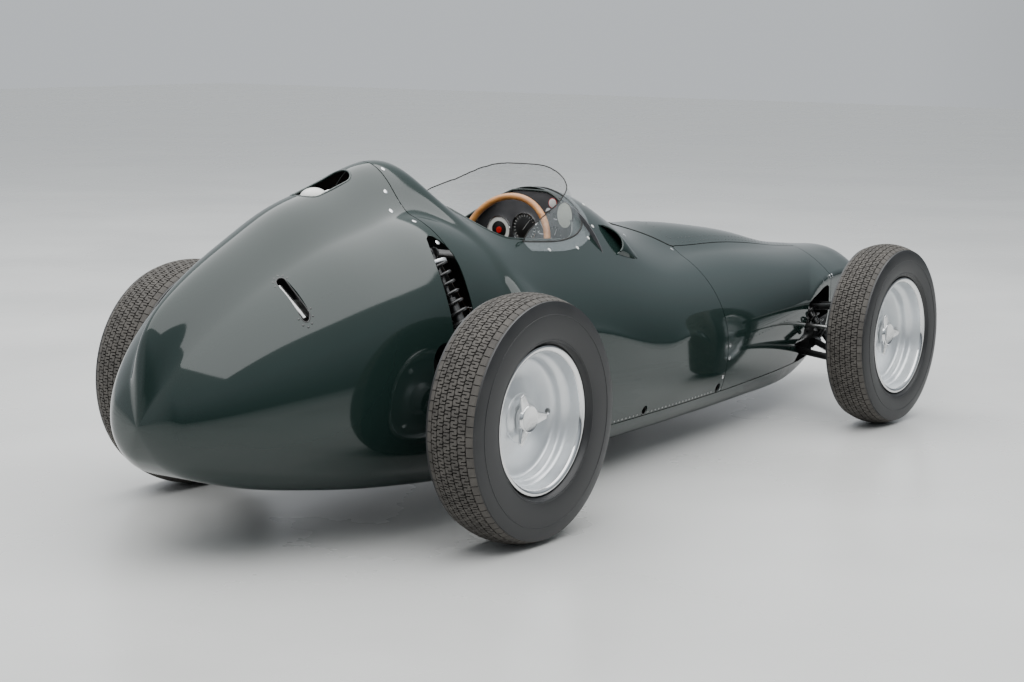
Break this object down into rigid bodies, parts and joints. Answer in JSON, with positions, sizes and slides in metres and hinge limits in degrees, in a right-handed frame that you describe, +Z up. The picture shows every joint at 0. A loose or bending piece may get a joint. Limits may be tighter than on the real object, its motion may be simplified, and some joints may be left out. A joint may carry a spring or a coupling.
{
  "type": "open wheel racing car",
  "caption": "Front-engined single-seat racing car of the 1950s with exposed wheels, long bonnet, open cockpit with wrap-round screen and rounded tail.",
  "frame": {"origin": "on the ground under the middle of the car's length and width", "axes": "+Z up, the nose points to -Y, +X to the driver's left"},
  "size_m": [1.5042, 4.023, 1.0529],
  "materials": {
    "green_paint": "very dark green gloss",
    "black_metal": "black satin enamel",
    "cast_metal": "sand cast",
    "steel": "machined",
    "wheel_alloy": "silver satin with polished rim",
    "bright_metal": "polished",
    "tyre_rubber": "worn rubber",
    "dash_grey": "matt dark grey",
    "dial_black": "dial faces",
    "wheel_wood": "varnished",
    "seat_leather": "black",
    "clear_screen": "clear acrylic sheet"
  },
  "bodies": {
    "chassis": {"chassis_frame": "black_metal", "jack_sockets": "black_metal", "engine_block": "cast_metal", "radiator": "cast_metal", "fuel_tank": "cast_metal", "filler_neck": "bright_metal", "gearbox": "cast_metal", "exhaust_pipe": "steel", "belly_pan": "green_paint", "nose_cowl": "green_paint", "bonnet_lid": "green_paint", "bonnet_side_left": "green_paint", "bonnet_side_right": "green_paint", "cockpit_section": "green_paint", "tail_shell": "green_paint", "windscreen": "clear_screen", "mirror_housing": "bright_metal", "dash_panel": "dash_grey", "instruments": "dial_black", "seat_cushion": "seat_leather", "seat_back": "seat_leather", "front_wishbones": "black_metal", "front_spring_units": "black_metal", "de_dion_tube": "black_metal", "rear_spring_units": "black_metal"},
    "knuckle_left": {"knuckle_left": "black_metal"},
    "knuckle_right": {"knuckle_right": "black_metal"},
    "wheel_front_left": {"tyre_front_left": "tyre_rubber", "rim_front_left": "wheel_alloy", "spinner_front_left": "bright_metal"},
    "wheel_front_right": {"tyre_front_right": "tyre_rubber", "rim_front_right": "wheel_alloy", "spinner_front_right": "bright_metal"},
    "wheel_rear_left": {"tyre_rear_left": "tyre_rubber", "rim_rear_left": "wheel_alloy", "spinner_rear_left": "bright_metal", "half_shaft_left": "steel"},
    "wheel_rear_right": {"tyre_rear_right": "tyre_rubber", "rim_rear_right": "wheel_alloy", "spinner_rear_right": "bright_metal", "half_shaft_right": "steel"},
    "steering": {"steering_wheel": "wheel_wood", "steering_column": "steel"},
    "track_rod": {"track_rod": "steel"},
    "brake_disc": {"brake_disc": "steel"}
  },
  "joints": [
    {"name": "steer_left", "type": "hinge", "parent": "chassis", "child": "knuckle_left", "pos_m": [0.548, -1.1475, 0.334], "axis": [0, 0, 1], "range_deg": [-22, 22]},
    {"name": "steer_right", "type": "hinge", "parent": "chassis", "child": "knuckle_right", "pos_m": [-0.548, -1.1475, 0.334], "axis": [0, 0, 1], "range_deg": [-22.5, 22.5]},
    {"name": "spin_front_left", "type": "hinge", "parent": "knuckle_left", "child": "wheel_front_left", "pos_m": [0.67, -1.1475, 0.334], "axis": [1, 0, 0], "continuous": true},
    {"name": "spin_front_right", "type": "hinge", "parent": "knuckle_right", "child": "wheel_front_right", "pos_m": [-0.67, -1.1475, 0.334], "axis": [1, 0, 0], "continuous": true},
    {"name": "spin_rear_left", "type": "hinge", "parent": "chassis", "child": "wheel_rear_left", "pos_m": [0.645, 1.1385, 0.358], "axis": [1, 0, 0], "continuous": true},
    {"name": "spin_rear_right", "type": "hinge", "parent": "chassis", "child": "wheel_rear_right", "pos_m": [-0.645, 1.1385, 0.358], "axis": [1, 0, 0], "continuous": true},
    {"name": "steering_turn", "type": "hinge", "parent": "chassis", "child": "steering", "pos_m": [0, 0.3385, 0.738], "axis": [0, 0.9511, 0.309], "range_deg": [-266, 266]},
    {"name": "track_rod_slide", "type": "slide", "parent": "chassis", "child": "track_rod", "axis": [1, 0, 0], "range_m": [-0.052, 0.052]},
    {"name": "rear_brake_spin", "type": "hinge", "parent": "chassis", "child": "brake_disc", "pos_m": [0, 1.5435, 0.272], "axis": [0, 1, 0], "continuous": true}
  ],
  "couplings": [
    {"joint": "steer_right", "follows": "steer_left", "ratio": 1},
    {"joint": "steering_turn", "follows": "steer_left", "ratio": 12},
    {"joint": "track_rod_slide", "follows": "steer_left", "m_per_rad": 0.1275}
  ]
}
